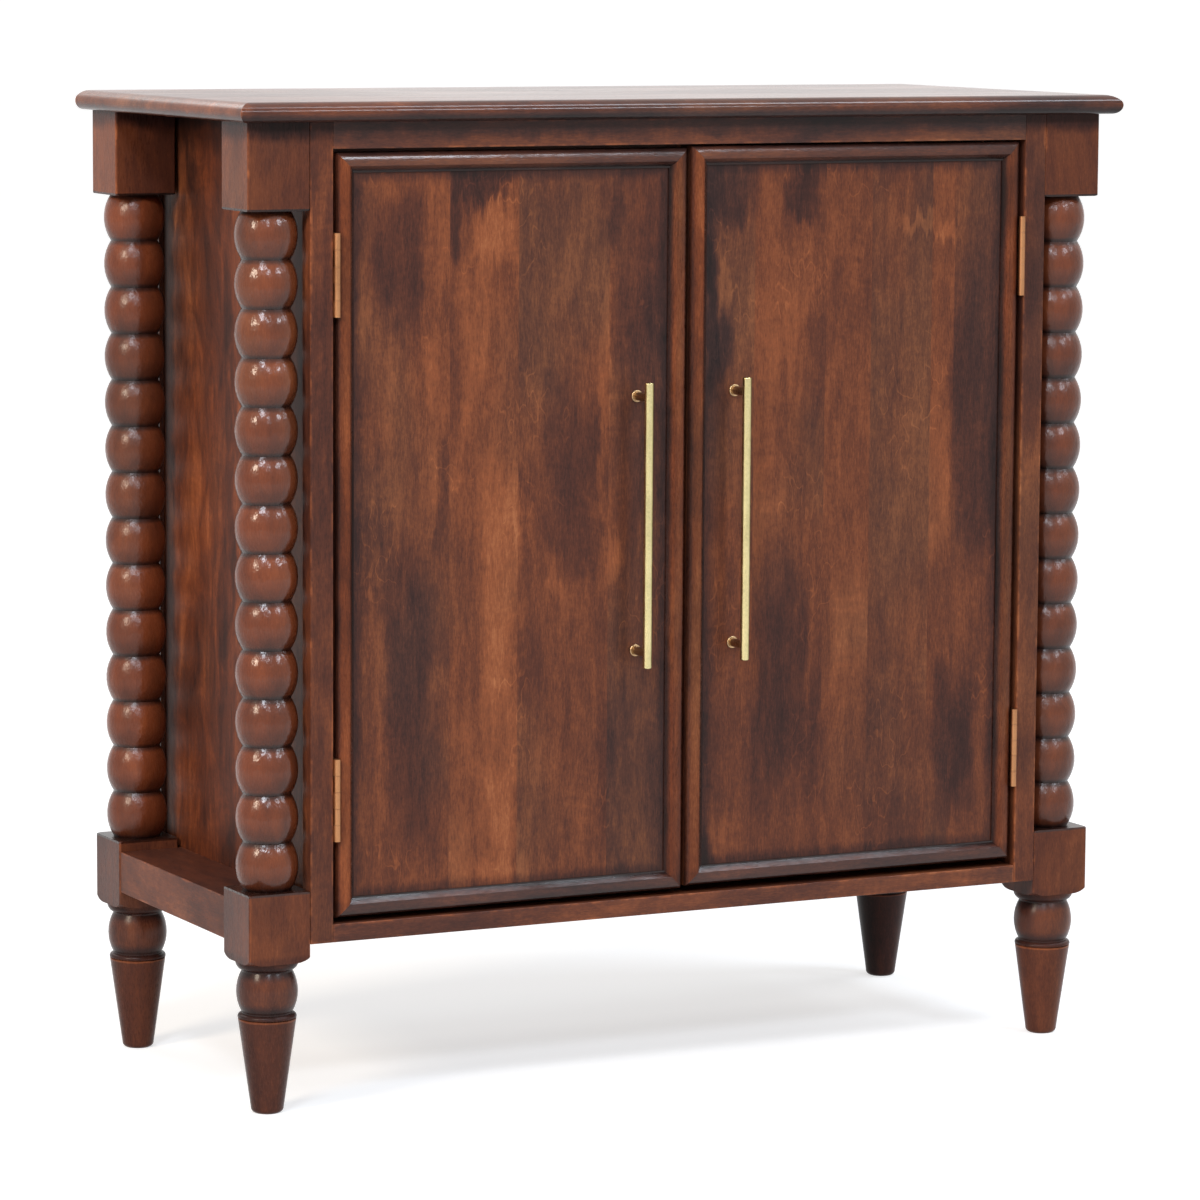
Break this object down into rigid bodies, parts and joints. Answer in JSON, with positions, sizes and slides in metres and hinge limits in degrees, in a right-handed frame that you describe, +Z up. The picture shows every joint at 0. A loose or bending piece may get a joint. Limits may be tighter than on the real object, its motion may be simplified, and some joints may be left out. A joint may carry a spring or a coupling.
{
  "type": "storage cabinet",
  "caption": "Two-door wooden cabinet between four bobbin-turned corner posts, with mitred door mouldings, bar handles, an inner shelf and magnetic catches.",
  "frame": {"origin": "on the floor, at the centre of the closed cabinet's box", "axes": "+X to the right seen from the front, -Y out of the doors towards the viewer, +Z up"},
  "size_m": [0.912, 0.4012, 0.914],
  "materials": {
    "stained_wood": "dark chestnut stain under semi-gloss lacquer",
    "plywood": "stained, matt",
    "handle_brass": "satin pale brass",
    "hinge_brass": "plain rolled brass",
    "steel": "zinc plated",
    "catch_plastic": "moulded brown plastic",
    "magnet": "dark ferrite"
  },
  "bodies": {
    "carcase": {"top_board": "stained_wood", "front_left_post": "stained_wood", "front_right_post": "stained_wood", "back_left_post": "stained_wood", "back_right_post": "stained_wood", "top_rail": "stained_wood", "bottom_rail": "stained_wood", "left_stile": "stained_wood", "right_stile": "stained_wood", "left_side_panel": "stained_wood", "right_side_panel": "stained_wood", "left_base_rail": "stained_wood", "right_base_rail": "stained_wood", "bottom_board": "stained_wood", "shelf": "stained_wood", "back_left_stile": "stained_wood", "back_right_stile": "stained_wood", "back_top_rail": "stained_wood", "back_bottom_rail": "stained_wood", "door_stop": "stained_wood", "left_top_cleat": "stained_wood", "right_top_cleat": "stained_wood", "left_shelf_cleat": "stained_wood", "right_shelf_cleat": "stained_wood", "back_panel": "plywood", "left_catch": "catch_plastic", "right_catch": "catch_plastic", "catch_magnets": "magnet", "catch_screws": "steel", "cleat_screws": "steel", "hinge_pins": "hinge_brass", "frame_hinge_screws": "hinge_brass", "left_lower_hinge_frame_leaf": "hinge_brass", "left_upper_hinge_frame_leaf": "hinge_brass", "right_lower_hinge_frame_leaf": "hinge_brass", "right_upper_hinge_frame_leaf": "hinge_brass"},
    "left_door": {"left_door_panel": "stained_wood", "left_door_top_moulding": "stained_wood", "left_door_bottom_moulding": "stained_wood", "left_door_left_moulding": "stained_wood", "left_door_right_moulding": "stained_wood", "left_handle_bar": "handle_brass", "left_handle_stems": "handle_brass", "left_handle_screws": "steel", "left_strike_plate": "steel", "left_door_hinge_screws": "hinge_brass", "left_lower_hinge_door_leaf": "hinge_brass", "left_upper_hinge_door_leaf": "hinge_brass"},
    "right_door": {"right_door_panel": "stained_wood", "right_door_top_moulding": "stained_wood", "right_door_bottom_moulding": "stained_wood", "right_door_left_moulding": "stained_wood", "right_door_right_moulding": "stained_wood", "right_handle_bar": "handle_brass", "right_handle_stems": "handle_brass", "right_handle_screws": "steel", "right_strike_plate": "steel", "right_door_hinge_screws": "hinge_brass", "right_lower_hinge_door_leaf": "hinge_brass", "right_upper_hinge_door_leaf": "hinge_brass"}
  },
  "joints": [
    {"name": "left_door_hinge", "type": "hinge", "parent": "carcase", "child": "left_door", "pos_m": [-0.356, -0.17977, 0.5235], "axis": [0, 0, -1], "range_deg": [0, 170]},
    {"name": "right_door_hinge", "type": "hinge", "parent": "carcase", "child": "right_door", "pos_m": [0.356, -0.17977, 0.5255], "axis": [0, 0, 1], "range_deg": [0, 170]}
  ]
}
